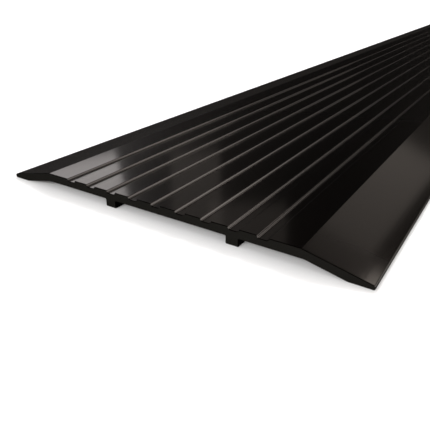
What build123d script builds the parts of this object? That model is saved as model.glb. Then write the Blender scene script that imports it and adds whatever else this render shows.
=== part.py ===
from build123d import *
import os

# Fluted saddle threshold: an aluminium plate that lies across a doorway, with a ramp down each long side.
# X runs across the plate, Y along it and Z up. The origin is on the floor, under the middle of the plate.

# Plate, outside
plate_length = 914.4
plate_width = 152.4
plate_height = 6.35
flat_width = 108.0
toe_height = 1.5
toe_radius = 0.6
ramp_crest_radius = 0.5
end_chamfer = 0.2

# Plate, underside
wall = 3.45
toe_sole_width = 7.7
arch_width = 110.0
arch_height = plate_height - wall
foot_width = 4.8
foot_corner_radius = 0.25
foot_root_radius = 0.4

# Flutes, steep-sided with a rounded floor
flute_count = 9
flute_pitch = 10.4
flute_mouth = 4.0
flute_floor = 3.2
flute_depth = 0.9
flute_lip_radius = 0.3
flute_floor_radius = 0.8

# Each foot stands almost under a flute, counted from the middle one
foot_flutes = (-2, 3)
foot_offset = -0.5
foot_places = [n * flute_pitch + foot_offset for n in foot_flutes]

# Foam tape in the hollows under the plate, and the liner that is peeled off each strip
tape_width = 19.0
tape_bulge = 0.3
tape_end_gap = 22.0
liner_thickness = 0.1
liner_overhang = 0.5
liner_tab = 8.0

os.makedirs("parts", exist_ok=True)


def save(piece, name):
    piece.part.label = name
    export_step(piece.part, f"parts/{name}.step")
    print(name, "volume", round(piece.part.volume), "mm3")


# The extrusion: ramps, toes and feet are one solid with the plate
half_width = plate_width / 2
half_flat = flat_width / 2
half_arch = arch_width / 2
sole_edge = half_width - toe_sole_width
flute_numbers = range(-(flute_count // 2), flute_count // 2 + 1)
flute_places = [(n * flute_pitch, plate_height) for n in flute_numbers]

with BuildPart() as saddle_plate:
    with BuildSketch(Plane.XZ) as section:
        with BuildLine():
            Polyline(
                (-half_width, 0),
                (-half_width, toe_height),
                (-half_flat, plate_height),
                (half_flat, plate_height),
                (half_width, toe_height),
                (half_width, 0),
                (sole_edge, 0),
                (half_arch, arch_height),
                (-half_arch, arch_height),
                (-sole_edge, 0),
                close=True,
            )
        make_face()
        toe_corners = section.vertices().group_by(Axis.X)
        fillet(toe_corners[0] + toe_corners[-1], toe_radius)

        # Feet
        with Locations([(x, 0) for x in foot_places]):
            Rectangle(foot_width, arch_height + wall / 2, align=(Align.CENTER, Align.MIN))
        sole_corners = section.vertices().group_by(Axis.Y)[0].sort_by(Axis.X)
        fillet(sole_corners[2:-2], foot_corner_radius)
        root_corners = section.vertices().filter_by(lambda v: abs(v.Y - arch_height) < 0.01).sort_by(Axis.X)
        fillet(root_corners[1:-1], foot_root_radius)

        # Flutes
        with Locations(flute_places):
            Polygon(
                (-flute_mouth / 2, 0),
                (-flute_floor / 2, -flute_depth),
                (flute_floor / 2, -flute_depth),
                (flute_mouth / 2, 0),
                align=None,
                mode=Mode.SUBTRACT,
            )
        top_corners = section.vertices().group_by(Axis.Y)[-1].sort_by(Axis.X)
        fillet(top_corners[1:-1], flute_lip_radius)
        top_corners = section.vertices().group_by(Axis.Y)[-1].sort_by(Axis.X)
        fillet([top_corners[0], top_corners[-1]], ramp_crest_radius)
        floor_height = plate_height - flute_depth
        floor_corners = section.vertices().filter_by(lambda v: abs(v.Y - floor_height) < 0.01)
        fillet(floor_corners, flute_floor_radius)
    extrude(amount=plate_length / 2, both=True)
    end_faces = saddle_plate.faces().sort_by(Axis.Y)
    chamfer(end_faces[0].edges() + end_faces[-1].edges(), end_chamfer)
save(saddle_plate, "saddle_plate")

# Foam tape strips: one in each side hollow, two in the middle one
left_foot, right_foot = foot_places
middle_span = right_foot - left_foot - foot_width
middle_gap = (middle_span - 2 * tape_width) / 3
tape_places = {
    "left": (-half_arch + left_foot - foot_width / 2) / 2,
    "centre_left": left_foot + foot_width / 2 + middle_gap + tape_width / 2,
    "centre_right": right_foot - foot_width / 2 - middle_gap - tape_width / 2,
    "right": (right_foot + foot_width / 2 + half_arch) / 2,
}
tape_length = plate_length - 2 * tape_end_gap

for side, x in tape_places.items():
    edge = tape_width / 2
    with BuildPart() as tape:
        with BuildSketch(Plane.XZ):
            with BuildLine():
                top = Line((x - edge, arch_height), (x + edge, arch_height))
                middle_height = (arch_height + liner_thickness) / 2
                right_side = ThreePointArc(
                    top @ 1, (x + edge + tape_bulge, middle_height), (x + edge, liner_thickness)
                )
                bottom = Line(right_side @ 1, (x - edge, liner_thickness))
                ThreePointArc(bottom @ 1, (x - edge - tape_bulge, middle_height), top @ 0)
            make_face()
        extrude(amount=tape_length / 2, both=True)
    save(tape, f"{side}_tape")

    # The liner is a little wider than its tape and ends in a tab to pull
    with BuildPart() as liner:
        with BuildSketch(Plane.XY):
            with Locations((x, -liner_tab / 2)):
                RectangleRounded(tape_width + 2 * liner_overhang, tape_length + liner_tab, 1.5)
        extrude(amount=liner_thickness)
    save(liner, f"{side}_liner")
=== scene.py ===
import bpy
import math
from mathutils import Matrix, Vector


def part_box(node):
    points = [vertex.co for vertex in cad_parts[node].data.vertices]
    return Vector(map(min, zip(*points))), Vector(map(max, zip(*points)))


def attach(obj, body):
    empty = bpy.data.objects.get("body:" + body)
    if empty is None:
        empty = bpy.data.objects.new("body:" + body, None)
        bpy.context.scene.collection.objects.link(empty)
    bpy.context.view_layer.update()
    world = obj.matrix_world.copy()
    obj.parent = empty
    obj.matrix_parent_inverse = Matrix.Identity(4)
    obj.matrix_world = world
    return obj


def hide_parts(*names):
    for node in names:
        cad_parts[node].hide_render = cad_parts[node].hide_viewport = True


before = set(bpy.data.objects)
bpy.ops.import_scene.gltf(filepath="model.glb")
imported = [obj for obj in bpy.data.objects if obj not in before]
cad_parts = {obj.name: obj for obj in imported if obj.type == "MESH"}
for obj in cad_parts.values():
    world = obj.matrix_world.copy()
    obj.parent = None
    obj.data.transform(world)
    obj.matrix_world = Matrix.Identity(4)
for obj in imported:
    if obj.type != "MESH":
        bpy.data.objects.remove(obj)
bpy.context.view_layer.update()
plateLow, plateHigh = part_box("saddle_plate")
mm = 0.001


def hexToLinear(hexText):
    channels = [int(hexText[i:i + 2], 16) / 255 for i in (0, 2, 4)]
    linear = [c / 12.92 if c <= 0.04045 else ((c + 0.055) / 1.055) ** 2.4 for c in channels]
    return (*linear, 1.0)


def addNode(tree, kind, inputs=None, **settings):
    # inputs: socket name or number -> a value, or the socket that it is linked from
    node = tree.nodes.new(kind)
    for name, value in settings.items():
        setattr(node, name, value)
    for key, value in (inputs or {}).items():
        socket = node.inputs[key]
        if isinstance(value, bpy.types.NodeSocket):
            tree.links.new(value, socket)
        else:
            socket.default_value = value
    return node


def newMaterial(name):
    material = bpy.data.materials.new(name)
    material.use_nodes = True
    material.node_tree.nodes.clear()
    return material, material.node_tree


def finishMaterial(tree, shader):
    addNode(tree, "ShaderNodeOutputMaterial", {"Surface": shader.outputs["BSDF"]})


# Anodised aluminium, dyed dark bronze, with a bright sealed skin: near black until it mirrors a light
anodised = {
    "deepDye": "0f0c0b",
    "thinDye": "1b1614",
    "dyePatch": 60 * mm,        # size of the cloudy changes in the dye
    "dyeDetail": 3.0,
    "dieLine": 0.9 * mm,        # spacing of the faint lines that the die leaves along the plate
    "dieRun": 400 * mm,         # how far one line runs
    "dieDepth": 0.004 * mm,
    "dieDetail": 2.0,
    "baseRoughness": 0.42,
    "skinRoughness": 0.1,
    "skinIor": 1.55,
}


def makeAnodised(s):
    material, tree = newMaterial("darkBronzeAnodisedAluminium")
    place = addNode(tree, "ShaderNodeTexCoord").outputs["Object"]
    dye = addNode(tree, "ShaderNodeTexNoise", {
        "Vector": place, "Scale": 1 / s["dyePatch"], "Detail": s["dyeDetail"],
    })
    dyeColour = addNode(tree, "ShaderNodeMix", {
        "Factor": dye.outputs["Fac"],
        "A": hexToLinear(s["deepDye"]),
        "B": hexToLinear(s["thinDye"]),
    }, data_type="RGBA")
    stretched = addNode(tree, "ShaderNodeMapping", {
        "Vector": place,
        "Scale": (1 / s["dieLine"], 1 / s["dieRun"], 1 / s["dieLine"]),
    })
    dieLines = addNode(tree, "ShaderNodeTexNoise", {
        "Vector": stretched.outputs["Vector"], "Scale": 1.0, "Detail": s["dieDetail"],
    })
    bump = addNode(tree, "ShaderNodeBump", {
        "Height": dieLines.outputs["Fac"], "Distance": s["dieDepth"], "Strength": 1.0,
    })
    shader = addNode(tree, "ShaderNodeBsdfPrincipled", {
        "Base Color": dyeColour.outputs["Result"],
        "Metallic": 1.0,
        "Roughness": s["baseRoughness"],
        "Coat Weight": 1.0,
        "Coat Roughness": s["skinRoughness"],
        "Coat IOR": s["skinIor"],
        "Normal": bump.outputs["Normal"],
        "Coat Normal": bump.outputs["Normal"],
    })
    finishMaterial(tree, shader)
    return material


# The same metal where the saw cut it before it was anodised: even, matt and almost black
sawnEnd = {
    "dye": "131210",
    # the lighter tone on the saw marks' ridges is painted light, and the darker tone in their grooves is
    # painted shade
    "sawRidgePaintedLight": "191815",
    "sawMark": 0.5 * mm,        # from one saw mark to the next
    "sawSlant": 12,             # degrees
    "sawDepth": 0.01 * mm,
    "sawWander": 1.5,           # how far the marks stray from straight
    "sawDetail": 2.0,
    "roughness": 0.6,
    "shine": 0.1,
}
waveLength = math.pi / 10    # what a wave texture of scale 1 repeats over


def makeSawnEnd(s):
    material, tree = newMaterial("sawnAnodisedAluminium")
    place = addNode(tree, "ShaderNodeTexCoord").outputs["Object"]
    slanted = addNode(tree, "ShaderNodeMapping", {
        "Vector": place, "Rotation": (0, math.radians(s["sawSlant"]), 0),
    })
    marks = addNode(tree, "ShaderNodeTexWave", {
        "Vector": slanted.outputs["Vector"], "Scale": waveLength / s["sawMark"],
        "Distortion": s["sawWander"], "Detail": s["sawDetail"],
    }, bands_direction="X")
    # painted light and shade: the colour follows the saw marks' bump, lighter on the ridges and darker in
    # the grooves
    tone = addNode(tree, "ShaderNodeMix", {
        "Factor": marks.outputs["Fac"], "A": hexToLinear(s["dye"]), "B": hexToLinear(s["sawRidgePaintedLight"]),
    }, data_type="RGBA")
    bump = addNode(tree, "ShaderNodeBump", {"Height": marks.outputs["Fac"], "Distance": s["sawDepth"]})
    shader = addNode(tree, "ShaderNodeBsdfPrincipled", {
        "Base Color": tone.outputs["Result"],
        "Roughness": s["roughness"],
        "Specular IOR Level": s["shine"],
        "Normal": bump.outputs["Normal"],
    })
    finishMaterial(tree, shader)
    return material


# The plate: the corners of its outline, then flutes, rounding and length by Geometry Nodes
plate = {
    "flatWidth": 108.0 * mm,
    "toeHeight": 1.5 * mm,
    "toeSole": 7.7 * mm,
    "archWidth": 110.0 * mm,
    "wall": 3.45 * mm,
    "footWidth": 4.8 * mm,
    "footFlutes": (-2, 3),      # the flutes that the feet stand under, from the middle one
    "footOffset": -0.5 * mm,
    "endChamfer": 0.2 * mm,
    "fluteCount": 9,
    "flutePitch": 10.4 * mm,
    "fluteMouth": 4.0 * mm,
    "fluteFloor": 3.2 * mm,
    "fluteDepth": 0.9 * mm,
    "lipRadius": 0.3 * mm,
    "floorRadius": 0.8 * mm,
    "toeRadius": 0.6 * mm,
    "rampCrestRadius": 0.5 * mm,
    "footCornerRadius": 0.25 * mm,
    "footRootRadius": 0.4 * mm,
    "arcPoints": 9,             # on each rounded corner
    "sharpAngle": 35,           # degrees
    "flatWeight": 100,
}


def plateCorners(s):
    # (across, up, corner radius), clockwise from the right end of the level top to its left end
    half = plateHigh.x
    top = plateHigh.z
    arch = top - s["wall"]
    corners = [
        (s["flatWidth"] / 2, top, s["rampCrestRadius"]),
        (half, s["toeHeight"], s["toeRadius"]),
        (half, 0, s["toeRadius"]),
        (half - s["toeSole"], 0, 0),
        (s["archWidth"] / 2, arch, 0),
    ]
    leftSide = [(-x, z, radius) for x, z, radius in reversed(corners)]
    for fluteNumber in sorted(s["footFlutes"], reverse=True):
        x = fluteNumber * s["flutePitch"] + s["footOffset"]
        right, left = x + s["footWidth"] / 2, x - s["footWidth"] / 2
        corners += [
            (right, arch, s["footRootRadius"]),
            (right, 0, s["footCornerRadius"]),
            (left, 0, s["footCornerRadius"]),
            (left, arch, s["footRootRadius"]),
        ]
    return corners + leftSide


def makePlateTree():
    # drawn lying down: X across, Y up, and the length along Z until the last step
    tree = bpy.data.node_groups.new("flutedExtrusion", "GeometryNodeTree")
    tree.is_modifier = True
    socketKinds = {
        "Geometry": "NodeSocketGeometry",
        "Length": "NodeSocketFloat",
        "Height": "NodeSocketFloat",
        "End Chamfer": "NodeSocketFloat",
        "Flute Count": "NodeSocketInt",
        "Flute Pitch": "NodeSocketFloat",
        "Flute Mouth": "NodeSocketFloat",
        "Flute Floor": "NodeSocketFloat",
        "Flute Depth": "NodeSocketFloat",
        "Lip Radius": "NodeSocketFloat",
        "Floor Radius": "NodeSocketFloat",
        "Arc Points": "NodeSocketInt",
        "Skin": "NodeSocketMaterial",
        "Cut End": "NodeSocketMaterial",
    }
    for name, kind in socketKinds.items():
        tree.interface.new_socket(name, in_out="INPUT", socket_type=kind)
    tree.interface.new_socket("Geometry", in_out="OUTPUT", socket_type="NodeSocketGeometry")
    given = addNode(tree, "NodeGroupInput").outputs
    position = addNode(tree, "GeometryNodeInputPosition").outputs[0]
    place = addNode(tree, "ShaderNodeSeparateXYZ", {0: position})

    # The four corners of one flute, with the radius that each is rounded to
    flute = addNode(tree, "GeometryNodeCurvePrimitiveQuadrilateral", {
        "Top Width": given["Flute Mouth"],
        "Bottom Width": given["Flute Floor"],
        "Height": given["Flute Depth"],
        "Offset": 0.0,
    }, mode="TRAPEZOID")
    fluteLine = addNode(tree, "GeometryNodeCurveToMesh", {"Curve": flute.outputs["Curve"]})
    isLip = addNode(tree, "ShaderNodeMath", {0: place.outputs["Y"], 1: 0.0}, operation="GREATER_THAN")
    fluteRadius = addNode(tree, "GeometryNodeSwitch", {
        "Switch": isLip.outputs[0], "False": given["Floor Radius"], "True": given["Lip Radius"],
    }, input_type="FLOAT")
    fluteCorners = addNode(tree, "GeometryNodeStoreNamedAttribute", {
        "Geometry": fluteLine.outputs["Mesh"],
        "Name": "cornerRadius",
        "Value": fluteRadius.outputs["Output"],
    }, data_type="FLOAT", domain="POINT")

    # A row of flutes, centred, with their mouths level with the top
    gapCount = addNode(tree, "ShaderNodeMath", {0: given["Flute Count"], 1: 1.0}, operation="SUBTRACT")
    rowWidth = addNode(tree, "ShaderNodeMath", {
        0: gapCount.outputs[0], 1: given["Flute Pitch"],
    }, operation="MULTIPLY")
    rowStart = addNode(tree, "ShaderNodeMath", {0: rowWidth.outputs[0], 1: -0.5}, operation="MULTIPLY")
    rowHeight = addNode(tree, "ShaderNodeMath", {
        0: given["Flute Depth"], 1: -0.5, 2: given["Height"],
    }, operation="MULTIPLY_ADD")
    firstFlute = addNode(tree, "ShaderNodeCombineXYZ", {
        "X": rowStart.outputs[0], "Y": rowHeight.outputs[0],
    })
    fluteStep = addNode(tree, "ShaderNodeCombineXYZ", {"X": given["Flute Pitch"]})
    fluteRow = addNode(tree, "GeometryNodeMeshLine", {
        "Count": given["Flute Count"],
        "Start Location": firstFlute.outputs[0],
        "Offset": fluteStep.outputs[0],
    }, mode="OFFSET")
    fluteCopies = addNode(tree, "GeometryNodeInstanceOnPoints", {
        "Points": fluteRow.outputs["Mesh"], "Instance": fluteCorners.outputs["Geometry"],
    })
    flutes = addNode(tree, "GeometryNodeRealizeInstances", {"Geometry": fluteCopies.outputs["Instances"]})

    # One closed outline: flute corners in order from left to right, then the other corners as given
    fluteOrder = addNode(tree, "GeometryNodeStoreNamedAttribute", {
        "Geometry": flutes.outputs[0], "Name": "cornerOrder", "Value": place.outputs["X"],
    }, data_type="FLOAT", domain="POINT")
    index = addNode(tree, "GeometryNodeInputIndex").outputs[0]
    afterFlutes = addNode(tree, "ShaderNodeMath", {0: index, 1: 1.0}, operation="ADD")
    restOrder = addNode(tree, "GeometryNodeStoreNamedAttribute", {
        "Geometry": given["Geometry"], "Name": "cornerOrder", "Value": afterFlutes.outputs[0],
    }, data_type="FLOAT", domain="POINT")
    corners = addNode(tree, "GeometryNodeJoinGeometry")
    for part in (fluteOrder, restOrder):
        tree.links.new(part.outputs["Geometry"], corners.inputs["Geometry"])
    cornerPoints = addNode(tree, "GeometryNodeMeshToPoints", {"Mesh": corners.outputs["Geometry"]})
    order = addNode(tree, "GeometryNodeInputNamedAttribute", {"Name": "cornerOrder"}, data_type="FLOAT")
    radius = addNode(tree, "GeometryNodeInputNamedAttribute", {"Name": "cornerRadius"}, data_type="FLOAT")
    sharp = addNode(tree, "GeometryNodePointsToCurves", {
        "Points": cornerPoints.outputs["Points"], "Weight": order.outputs["Attribute"],
    })
    closed = addNode(tree, "GeometryNodeSetSplineCyclic", {"Geometry": sharp.outputs[0], "Cyclic": True})
    rounded = addNode(tree, "GeometryNodeFilletCurve", {
        "Curve": closed.outputs[0], "Count": given["Arc Points"],
        "Radius": radius.outputs["Attribute"], "Limit Radius": True,
    }, mode="POLY")
    tangent = addNode(tree, "GeometryNodeInputTangent").outputs[0]
    outward = addNode(tree, "ShaderNodeVectorMath", {
        0: (0, 0, 1), 1: tangent,
    }, operation="CROSS_PRODUCT")
    outline = addNode(tree, "GeometryNodeStoreNamedAttribute", {
        "Geometry": rounded.outputs[0], "Name": "outward", "Value": outward.outputs[0],
    }, data_type="FLOAT_VECTOR", domain="POINT")

    # A path of four points, whose outer two carry the outline drawn in by the chamfer
    halfLength = addNode(tree, "ShaderNodeMath", {0: given["Length"], 1: 0.5}, operation="MULTIPLY")
    pathEnd = addNode(tree, "ShaderNodeCombineXYZ", {"Z": halfLength.outputs[0]})
    pathStart = addNode(tree, "ShaderNodeVectorMath", {
        0: pathEnd.outputs[0], "Scale": -1.0,
    }, operation="SCALE")
    line = addNode(tree, "GeometryNodeCurvePrimitiveLine", {
        "Start": pathStart.outputs[0], "End": pathEnd.outputs[0],
    })
    cutLine = addNode(tree, "GeometryNodeSubdivideCurve", {"Curve": line.outputs["Curve"], "Cuts": 2})
    isEnd = addNode(tree, "GeometryNodeCurveEndpointSelection", {"Start Size": 1, "End Size": 1})
    isBetween = addNode(tree, "FunctionNodeBooleanMath", {0: isEnd.outputs[0]}, operation="NOT")
    fullLength = addNode(tree, "ShaderNodeMath", {
        0: halfLength.outputs[0], 1: given["End Chamfer"],
    }, operation="SUBTRACT")
    endSide = addNode(tree, "ShaderNodeMath", {0: place.outputs["Z"]}, operation="SIGN")
    betweenHeight = addNode(tree, "ShaderNodeMath", {
        0: endSide.outputs[0], 1: fullLength.outputs[0],
    }, operation="MULTIPLY")
    betweenPlace = addNode(tree, "ShaderNodeCombineXYZ", {"Z": betweenHeight.outputs[0]})
    path = addNode(tree, "GeometryNodeSetPosition", {
        "Geometry": cutLine.outputs[0],
        "Selection": isBetween.outputs[0],
        "Position": betweenPlace.outputs[0],
    })
    inset = addNode(tree, "ShaderNodeMath", {
        0: isEnd.outputs[0], 1: given["End Chamfer"],
    }, operation="MULTIPLY")
    pathWithInset = addNode(tree, "GeometryNodeStoreNamedAttribute", {
        "Geometry": path.outputs[0], "Name": "inset", "Value": inset.outputs[0],
    }, data_type="FLOAT", domain="POINT")
    swept = addNode(tree, "GeometryNodeCurveToMesh", {
        "Curve": pathWithInset.outputs[0], "Profile Curve": outline.outputs[0], "Fill Caps": True,
    })
    outwardAgain = addNode(tree, "GeometryNodeInputNamedAttribute", {
        "Name": "outward",
    }, data_type="FLOAT_VECTOR")
    insetAgain = addNode(tree, "GeometryNodeInputNamedAttribute", {"Name": "inset"}, data_type="FLOAT")
    inwardSize = addNode(tree, "ShaderNodeMath", {
        0: insetAgain.outputs[0], 1: -1.0,
    }, operation="MULTIPLY")
    drawIn = addNode(tree, "ShaderNodeVectorMath", {
        0: outwardAgain.outputs[0], "Scale": inwardSize.outputs[0],
    }, operation="SCALE")
    chamfered = addNode(tree, "GeometryNodeSetPosition", {
        "Geometry": swept.outputs[0], "Offset": drawIn.outputs[0],
    })

    # Stand it up, so that its length lies along Y, with its faces outward
    facing = addNode(tree, "GeometryNodeFlipFaces", {"Mesh": chamfered.outputs[0]})
    upright = addNode(tree, "GeometryNodeTransform", {
        "Geometry": facing.outputs[0], "Rotation": (math.radians(90), 0, 0),
    })
    realized = addNode(tree, "GeometryNodeRealizeInstances", {"Geometry": upright.outputs[0]})
    skinned = addNode(tree, "GeometryNodeSetMaterial", {
        "Geometry": realized.outputs[0], "Material": given["Skin"],
    })
    # the faces that look along the plate are its cut ends
    faceNormal = addNode(tree, "GeometryNodeInputNormal").outputs[0]
    normal = addNode(tree, "ShaderNodeSeparateXYZ", {0: faceNormal})
    tilt = addNode(tree, "ShaderNodeMath", {0: normal.outputs["Y"]}, operation="ABSOLUTE")
    isCut = addNode(tree, "ShaderNodeMath", {0: tilt.outputs[0], 1: 0.9}, operation="GREATER_THAN")
    ends = addNode(tree, "GeometryNodeSetMaterial", {
        "Geometry": skinned.outputs[0], "Selection": isCut.outputs[0], "Material": given["Cut End"],
    })
    addNode(tree, "NodeGroupOutput", {"Geometry": ends.outputs[0]})
    return tree


def runTree(obj, tree, values):
    # sets the modifier's inputs by socket identifier, then returns the evaluated result as a plain mesh
    modifier = obj.modifiers.new(tree.name, "NODES")
    modifier.node_group = tree
    for item in tree.interface.items_tree:
        if item.in_out == "INPUT" and item.name in values:
            modifier[item.identifier] = values[item.name]
    shown = bpy.context.evaluated_depsgraph_get()
    mesh = bpy.data.meshes.new_from_object(obj.evaluated_get(shown), depsgraph=shown)
    obj.modifiers.remove(modifier)
    obj.data = mesh
    return obj


def makePlate(s, skinMaterial, endMaterial):
    corners = plateCorners(s)
    mesh = bpy.data.meshes.new("plateCorners")
    mesh.from_pydata([(x, z, 0) for x, z, radius in corners], [], [])
    radii = mesh.attributes.new("cornerRadius", "FLOAT", "POINT")
    radii.data.foreach_set("value", [radius for x, z, radius in corners])
    obj = bpy.data.objects.new("flutedPlate", mesh)
    bpy.context.scene.collection.objects.link(obj)
    runTree(obj, makePlateTree(), {
        "Length": plateHigh.y - plateLow.y,
        "Height": plateHigh.z,
        "End Chamfer": s["endChamfer"],
        "Flute Count": s["fluteCount"],
        "Flute Pitch": s["flutePitch"],
        "Flute Mouth": s["fluteMouth"],
        "Flute Floor": s["fluteFloor"],
        "Flute Depth": s["fluteDepth"],
        "Lip Radius": s["lipRadius"],
        "Floor Radius": s["floorRadius"],
        "Arc Points": s["arcPoints"],
        "Skin": skinMaterial,
        "Cut End": endMaterial,
    })
    # smooth across each rounding, with the flats kept truly flat
    obj.data.shade_smooth()
    obj.data.set_sharp_from_angle(angle=math.radians(s["sharpAngle"]))
    weighted = obj.modifiers.new("flatsStayFlat", "WEIGHTED_NORMAL")
    weighted.keep_sharp = True
    weighted.weight = s["flatWeight"]
    shown = bpy.context.evaluated_depsgraph_get()
    obj.data = bpy.data.meshes.new_from_object(obj.evaluated_get(shown), depsgraph=shown)
    obj.modifiers.remove(weighted)
    print("plate:", len(obj.data.polygons), "faces")
    return obj


anodisedMaterial = makeAnodised(anodised)
sawnMaterial = makeSawnEnd(sawnEnd)
flutedPlate = makePlate(plate, anodisedMaterial, sawnMaterial)
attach(flutedPlate, "root")
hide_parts("saddle_plate")


# Acrylic foam mounting tape: charcoal, matt, with closed cells that show as a fine bump on its edges,
# their hollows painted darker as painted shade
foam = {
    "skinTone": "2a2b2c",
    "cellPaintedShade": "1c1d1e",
    "cell": 0.6 * mm,           # across one cell of the foam
    "cellDepth": 0.05 * mm,
    "roughness": 0.9,
}


def makeFoam(s):
    material, tree = newMaterial("acrylicFoamTape")
    place = addNode(tree, "ShaderNodeTexCoord").outputs["Object"]
    cells = addNode(tree, "ShaderNodeTexVoronoi", {"Vector": place, "Scale": 1 / s["cell"]})
    # painted shade: the cell hollows, low in the bump, take the darker tone
    tone = addNode(tree, "ShaderNodeMix", {
        "Factor": cells.outputs["Distance"],
        "A": hexToLinear(s["cellPaintedShade"]),
        "B": hexToLinear(s["skinTone"]),
    }, data_type="RGBA")
    bump = addNode(tree, "ShaderNodeBump", {
        "Height": cells.outputs["Distance"], "Distance": s["cellDepth"],
    })
    shader = addNode(tree, "ShaderNodeBsdfPrincipled", {
        "Base Color": tone.outputs["Result"],
        "Roughness": s["roughness"],
        "Normal": bump.outputs["Normal"],
    })
    finishMaterial(tree, shader)
    return material


# Siliconed polyethylene release film: red, smooth, pressed with a fine diamond pattern whose grooves are
# painted a darker red as painted shade
linerFilm = {
    "film": "a3242a",
    "filmGroovePaintedShade": "8a1b22",
    "diamond": 2.5 * mm,
    "diamondSlant": 30,         # degrees
    "pressDepth": 0.03 * mm,
    "roughness": 0.32,
    "ior": 1.51,
}


def makeLinerFilm(s):
    material, tree = newMaterial("siliconedReleaseFilm")
    place = addNode(tree, "ShaderNodeTexCoord").outputs["Object"]
    heights = []
    for degrees in (s["diamondSlant"], -s["diamondSlant"]):
        turned = addNode(tree, "ShaderNodeMapping", {
            "Vector": place, "Rotation": (0, 0, math.radians(degrees)),
        })
        ribs = addNode(tree, "ShaderNodeTexWave", {
            "Vector": turned.outputs["Vector"], "Scale": waveLength / s["diamond"],
        }, bands_direction="X")
        heights.append(ribs.outputs["Fac"])
    diamonds = addNode(tree, "ShaderNodeMath", {0: heights[0], 1: heights[1]}, operation="MULTIPLY")
    # painted shade: where the pressed diamonds are low, the film takes the darker red
    tone = addNode(tree, "ShaderNodeMix", {
        "Factor": diamonds.outputs[0], "A": hexToLinear(s["filmGroovePaintedShade"]), "B": hexToLinear(s["film"]),
    }, data_type="RGBA")
    bump = addNode(tree, "ShaderNodeBump", {"Height": diamonds.outputs[0], "Distance": s["pressDepth"]})
    shader = addNode(tree, "ShaderNodeBsdfPrincipled", {
        "Base Color": tone.outputs["Result"],
        "Roughness": s["roughness"],
        "IOR": s["ior"],
        "Normal": bump.outputs["Normal"],
    })
    finishMaterial(tree, shader)
    return material


def giveMaterial(obj, material):
    obj.data.materials.clear()
    obj.data.materials.append(material)


foamMaterial = makeFoam(foam)
filmMaterial = makeLinerFilm(linerFilm)
for side in ("left", "centre_left", "centre_right", "right"):
    giveMaterial(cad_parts[side + "_tape"], foamMaterial)
    giveMaterial(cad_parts[side + "_liner"], filmMaterial)
print("tapes and liners: materials given")


# Pale studio floor, wide enough to fill the view
floor = {
    "halfWidth": 4.0,
    "below": 0.02 * mm,         # under the soles, so that the two faces don't coincide
    "colour": "f2f2f2",
    "grainColour": "eeeeee",
    "grain": 40 * mm,
    "roughness": 0.8,
    "shine": 0.1,
}


def makeFloor(s):
    material, tree = newMaterial("paleStudioFloor")
    place = addNode(tree, "ShaderNodeTexCoord").outputs["Object"]
    grain = addNode(tree, "ShaderNodeTexNoise", {"Vector": place, "Scale": 1 / s["grain"]})
    tone = addNode(tree, "ShaderNodeMix", {
        "Factor": grain.outputs["Fac"], "A": hexToLinear(s["grainColour"]), "B": hexToLinear(s["colour"]),
    }, data_type="RGBA")
    shader = addNode(tree, "ShaderNodeBsdfPrincipled", {
        "Base Color": tone.outputs["Result"],
        "Roughness": s["roughness"],
        "Specular IOR Level": s["shine"],
    })
    finishMaterial(tree, shader)
    side = s["halfWidth"]
    mesh = bpy.data.meshes.new("studioFloor")
    corners = [(-side, -side, 0), (side, -side, 0), (side, side, 0), (-side, side, 0)]
    mesh.from_pydata(corners, [], [(0, 1, 2, 3)])
    obj = bpy.data.objects.new("studioFloor", mesh)
    bpy.context.scene.collection.objects.link(obj)
    giveMaterial(obj, material)
    obj.location.z = -s["below"]
    obj.visible_glossy = False


makeFloor(floor)

# Soft boxes, each placed by the direction it is seen in from the near end of the plate.
# azimuth is from +Y towards -X, and width and height are angles in degrees too.
# The last two only light the floor and the cut end: the skin doesn't mirror them.
nearEnd = Vector((0, plateLow.y, 0))
softBoxes = {
    "leftBox": {
        "azimuth": 63, "elevation": 37.4, "width": 35, "height": 36,
        "radiance": 1.48, "colour": "fff8f6", "mirrored": True,
    },
    "leftStrip": {
        "azimuth": 35.3, "elevation": 31.3, "width": 6, "height": 25,
        "radiance": 0.125, "colour": "fff1e5", "mirrored": True,
    },
    "fillBox": {
        "azimuth": 28.4, "elevation": 32, "width": 9.4, "height": 14,
        "radiance": 0.12, "colour": "fff1e5", "mirrored": True,
    },
    "backBox": {
        "azimuth": 2.2, "elevation": 25.6, "width": 9.2, "height": 12.8,
        "radiance": 0.28, "colour": "fff1e5", "mirrored": True,
    },
    "backTop": {
        "azimuth": 0, "elevation": 34, "width": 9, "height": 4,
        "radiance": 0.15, "colour": "fff1e5", "mirrored": True,
    },
    "cornerBox": {
        "azimuth": -13, "elevation": 43, "width": 14, "height": 20,
        "radiance": 1.6, "colour": "fff1e5", "mirrored": True,
    },
    "shadowBox": {
        "azimuth": 30, "elevation": 36, "width": 40, "height": 8,
        "radiance": 22, "colour": "ffffff", "mirrored": False,
    },
    "frontBox": {
        "azimuth": 180, "elevation": 30, "width": 40, "height": 20,
        "radiance": 9, "colour": "ffffff", "mirrored": False,
    },
}
boxDistance = 8.0    # metres


def makeSoftBox(name, s):
    az, el = math.radians(s["azimuth"]), math.radians(s["elevation"])
    toBox = Vector((-math.sin(az) * math.cos(el), math.cos(az) * math.cos(el), math.sin(el)))
    light = bpy.data.lights.new(name, "AREA")
    light.shape = "RECTANGLE"
    light.size = 2 * boxDistance * math.tan(math.radians(s["width"] / 2))
    light.size_y = 2 * boxDistance * math.tan(math.radians(s["height"] / 2))
    light.energy = s["radiance"] * math.pi * light.size * light.size_y
    light.color = hexToLinear(s["colour"])[:3]
    obj = bpy.data.objects.new(name, light)
    obj.location = nearEnd + toBox * boxDistance
    obj.rotation_mode = "QUATERNION"
    obj.rotation_quaternion = toBox.to_track_quat("Z", "Y")
    obj.visible_glossy = s["mirrored"]
    obj.visible_camera = False
    bpy.context.scene.collection.objects.link(obj)


for name, s in softBoxes.items():
    makeSoftBox(name, s)
print("lights:", len(softBoxes), "soft boxes")

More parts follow.
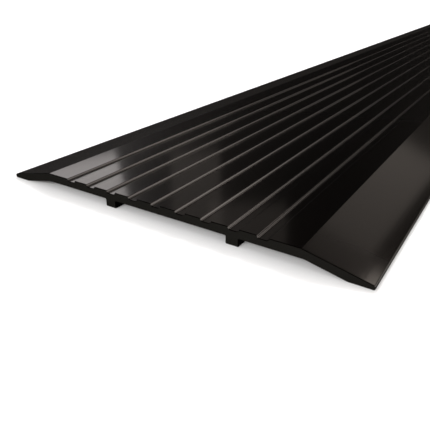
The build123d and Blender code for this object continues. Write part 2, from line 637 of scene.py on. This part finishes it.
# The studio: an even pale surround that lights the floor, and dark walls in the mirror of the skin,
# with a faint band at the horizon and a glow low down on the right that grows away from the back.
# Heights are the Z of a direction.
studio = {
    "surroundColour": "ffffff",
    "mirrorColour": "fff4ec",
    "surround": 0.68,
    "wall": 0.005,
    "horizon": 0.029,
    "horizonHeight": 0.02,
    "horizonSpread": 0.06,
    "backdrop": 1.0,            # what the camera itself sees
    "glow": 20.0,
    "glowGrowth": 4.6,          # power of the direction's X
    "glowMost": 2.4,
    "glowFoot": (-0.15, 0.0),   # heights between which it comes in
    "glowTop": (0.4, 0.65),     # and goes out again
}


def makeStudio(s):
    world = bpy.data.worlds.new("studio")
    bpy.context.scene.world = world
    world.use_nodes = True
    tree = world.node_tree
    tree.nodes.clear()
    direction = addNode(tree, "ShaderNodeSeparateXYZ", {
        0: addNode(tree, "ShaderNodeTexCoord").outputs["Generated"],
    })
    fromHorizon = addNode(tree, "ShaderNodeMath", {
        0: direction.outputs["Z"], 1: s["horizonHeight"],
    }, operation="SUBTRACT")
    offHorizon = addNode(tree, "ShaderNodeMath", {0: fromHorizon.outputs[0]}, operation="ABSOLUTE")
    wall = addNode(tree, "ShaderNodeMapRange", {
        "Value": offHorizon.outputs[0],
        "From Min": 0.0, "From Max": s["horizonSpread"],
        "To Min": s["horizon"], "To Max": s["wall"],
    })
    toRight = addNode(tree, "ShaderNodeMath", {0: direction.outputs["X"], 1: 0.0}, operation="MAXIMUM")
    growth = addNode(tree, "ShaderNodeMath", {
        0: toRight.outputs[0], 1: s["glowGrowth"],
    }, operation="POWER")
    glow = addNode(tree, "ShaderNodeMath", {0: growth.outputs[0], 1: s["glow"]}, operation="MULTIPLY")
    glowCapped = addNode(tree, "ShaderNodeMath", {
        0: glow.outputs[0], 1: s["glowMost"],
    }, operation="MINIMUM")
    lowDown = addNode(tree, "ShaderNodeMapRange", {
        "Value": direction.outputs["Z"],
        "From Min": s["glowTop"][0], "From Max": s["glowTop"][1], "To Min": 1.0, "To Max": 0.0,
    })
    aboveFloor = addNode(tree, "ShaderNodeMapRange", {
        "Value": direction.outputs["Z"],
        "From Min": s["glowFoot"][0], "From Max": s["glowFoot"][1], "To Min": 0.0, "To Max": 1.0,
    })
    band = addNode(tree, "ShaderNodeMath", {
        0: lowDown.outputs["Result"], 1: aboveFloor.outputs["Result"],
    }, operation="MULTIPLY")
    mirrored = addNode(tree, "ShaderNodeMath", {
        0: glowCapped.outputs[0], 1: band.outputs[0], 2: wall.outputs["Result"],
    }, operation="MULTIPLY_ADD")
    path = addNode(tree, "ShaderNodeLightPath")
    lit = addNode(tree, "ShaderNodeMix", {
        "Factor": path.outputs["Is Diffuse Ray"], "A": mirrored.outputs[0], "B": s["surround"],
    }, data_type="FLOAT")
    seen = addNode(tree, "ShaderNodeMix", {
        "Factor": path.outputs["Is Camera Ray"], "A": lit.outputs["Result"], "B": s["backdrop"],
    }, data_type="FLOAT")
    notMirror = addNode(tree, "ShaderNodeMath", {
        0: path.outputs["Is Diffuse Ray"], 1: path.outputs["Is Camera Ray"],
    }, operation="MAXIMUM")
    colour = addNode(tree, "ShaderNodeMix", {
        "Factor": notMirror.outputs[0],
        "A": hexToLinear(s["mirrorColour"]),
        "B": hexToLinear(s["surroundColour"]),
    }, data_type="RGBA")
    background = addNode(tree, "ShaderNodeBackground", {
        "Color": colour.outputs["Result"], "Strength": seen.outputs["Result"],
    })
    addNode(tree, "ShaderNodeOutputWorld", {"Surface": background.outputs["Background"]})


makeStudio(studio)
bpy.context.scene.view_settings.view_transform = "Standard"
print("studio: floor and world")

# Camera, placed from the near end of the plate
camera = {
    "across": 98.5 * mm,
    "before": 114.2 * mm,
    "height": 76.6 * mm,
    "turn": 32.96,              # degrees to the left of straight along the plate
    "tilt": 26.38,              # degrees down
    "lens": 40.37,
    "sensor": 36,
    "clipStart": 5 * mm,
}


def makeCamera(s):
    data = bpy.data.cameras.new("studioCamera")
    data.sensor_width = s["sensor"]
    data.lens = s["lens"]
    data.clip_start = s["clipStart"]
    obj = bpy.data.objects.new("studioCamera", data)
    obj.location = (s["across"], plateLow.y - s["before"], s["height"])
    obj.rotation_euler = (math.radians(90 - s["tilt"]), 0, math.radians(s["turn"]))
    bpy.context.scene.collection.objects.link(obj)
    bpy.context.scene.camera = obj


makeCamera(camera)
